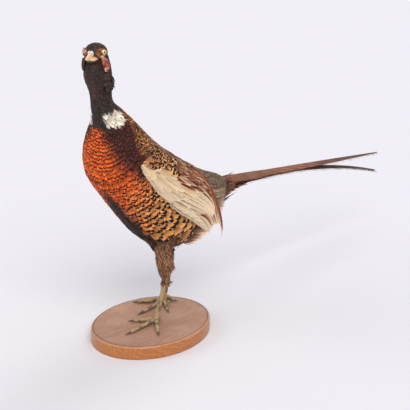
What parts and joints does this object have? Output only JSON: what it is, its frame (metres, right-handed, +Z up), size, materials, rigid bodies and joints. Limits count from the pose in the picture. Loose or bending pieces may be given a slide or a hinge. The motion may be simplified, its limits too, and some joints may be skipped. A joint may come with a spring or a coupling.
{
  "type": "taxidermy ring-necked pheasant",
  "caption": "Mounted cock ring-necked pheasant, standing mid-stride with its head turned and its long tail level, on an oval varnished wooden base.",
  "frame": {"origin": "centre of the oval base's flat underside", "axes": "+Z up; the bird's body faces -Y, its tail runs to +Y, and its left side is +X"},
  "size_m": [0.1812, 0.8725, 0.4943],
  "materials": {
    "varnished_wood": "satin varnish, orange-brown",
    "plumage": "feathered skin: copper, gold, cream, maroon and glossy black",
    "bill_horn": "pale smooth horn",
    "wattle_skin": "painted red skin, finely pimpled",
    "eye_glass": "polished, painted iris",
    "leg_scales": "dry scales, olive-tan",
    "claw_horn": "dark horn"
  },
  "bodies": {
    "root": {"base": "varnished_wood", "rump": "plumage", "trunk": "plumage", "neck": "plumage", "head": "plumage", "undertail": "plumage", "wing_left": "plumage", "wing_right": "plumage", "primaries_left": "plumage", "primaries_right": "plumage", "tertials_left": "plumage", "tertials_right": "plumage", "thigh_left": "plumage", "thigh_right": "plumage", "tail_1_left": "plumage", "tail_1_right": "plumage", "tail_2_left": "plumage", "tail_2_right": "plumage", "tail_3_left": "plumage", "tail_3_right": "plumage", "tail_4_left": "plumage", "tail_4_right": "plumage", "tail_5_left": "plumage", "tail_5_right": "plumage", "bill_upper": "bill_horn", "bill_lower": "bill_horn", "wattle_left": "wattle_skin", "wattle_right": "wattle_skin", "eye_left": "eye_glass", "eye_right": "eye_glass", "shank_left": "leg_scales", "shank_right": "leg_scales", "pad_left": "leg_scales", "pad_right": "leg_scales", "toe_inner_left": "leg_scales", "toe_inner_right": "leg_scales", "toe_middle_left": "leg_scales", "toe_middle_right": "leg_scales", "toe_outer_left": "leg_scales", "toe_outer_right": "leg_scales", "toe_hind_left": "leg_scales", "toe_hind_right": "leg_scales", "spur_left": "claw_horn", "spur_right": "claw_horn", "claw_inner_left": "claw_horn", "claw_inner_right": "claw_horn", "claw_middle_left": "claw_horn", "claw_middle_right": "claw_horn", "claw_outer_left": "claw_horn", "claw_outer_right": "claw_horn", "claw_hind_left": "claw_horn", "claw_hind_right": "claw_horn"}
  },
  "joints": []
}
